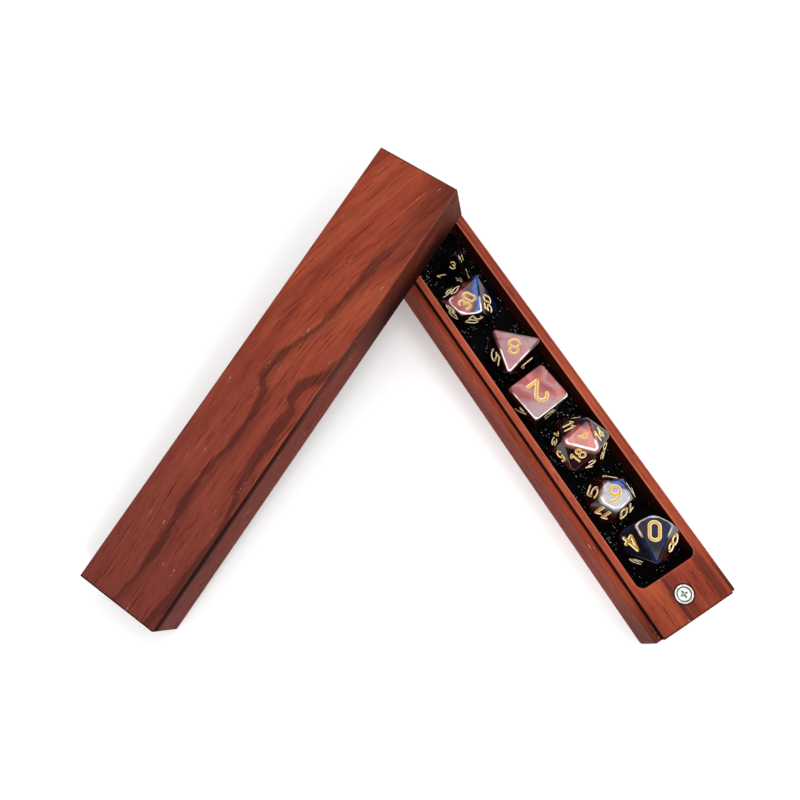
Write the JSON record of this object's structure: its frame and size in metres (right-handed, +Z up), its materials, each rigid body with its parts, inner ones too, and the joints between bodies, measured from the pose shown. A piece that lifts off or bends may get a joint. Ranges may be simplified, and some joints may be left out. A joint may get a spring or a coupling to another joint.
{
  "type": "dice storage chest",
  "caption": "Two-part hardwood box for role-playing dice, its lid resting open across the felt-lined tray of marbled dice.",
  "frame": {"origin": "centre of the tray's base", "axes": "+X along the tray to its far end, under the lid; +Y to the side where the lid comes down to the table; +Z up"},
  "size_m": [0.2092, 0.1985, 0.0476],
  "materials": {
    "wood": "oiled reddish hardwood with dark streaks and fine open pores",
    "felt": "black felt with pale specks",
    "nickel": "bright nickel plate",
    "steel": "plain bright steel",
    "resin": "polished marbled resin with gold-filled numerals"
  },
  "bodies": {
    "tray": {"tray_block": "wood", "tray_felt": "felt", "tray_near_magnet": "nickel", "tray_near_screw": "steel", "tray_far_magnet": "nickel", "tray_far_screw": "steel"},
    "lid": {"lid_block": "wood", "lid_felt": "felt", "lid_near_magnet": "nickel", "lid_near_screw": "steel", "lid_far_magnet": "nickel", "lid_far_screw": "steel"},
    "die_d4": {"die_d4": "resin"},
    "die_d6": {"die_d6": "resin"},
    "die_d8": {"die_d8": "resin"},
    "die_d10": {"die_d10": "resin"},
    "die_d10_tens": {"die_d10_tens": "resin"},
    "die_d12": {"die_d12": "resin"},
    "die_d20": {"die_d20": "resin"}
  },
  "joints": [
    {"name": "lid_lift", "type": "slide", "parent": "tray", "child": "lid", "axis": [0, 0, 1], "range_m": [0, 0.06]},
    {"name": "d4_lift", "type": "slide", "parent": "tray", "child": "die_d4", "axis": [0, 0, 1], "range_m": [0, 0.04]},
    {"name": "d6_lift", "type": "slide", "parent": "tray", "child": "die_d6", "axis": [0, 0, 1], "range_m": [0, 0.04]},
    {"name": "d8_lift", "type": "slide", "parent": "tray", "child": "die_d8", "axis": [0, 0, 1], "range_m": [0, 0.04]},
    {"name": "d10_lift", "type": "slide", "parent": "tray", "child": "die_d10", "axis": [0, 0, 1], "range_m": [0, 0.04]},
    {"name": "d10_tens_lift", "type": "slide", "parent": "tray", "child": "die_d10_tens", "axis": [0, 0, 1], "range_m": [0, 0.04]},
    {"name": "d12_lift", "type": "slide", "parent": "tray", "child": "die_d12", "axis": [0, 0, 1], "range_m": [0, 0.04]},
    {"name": "d20_lift", "type": "slide", "parent": "tray", "child": "die_d20", "axis": [0, 0, 1], "range_m": [0, 0.04]}
  ]
}
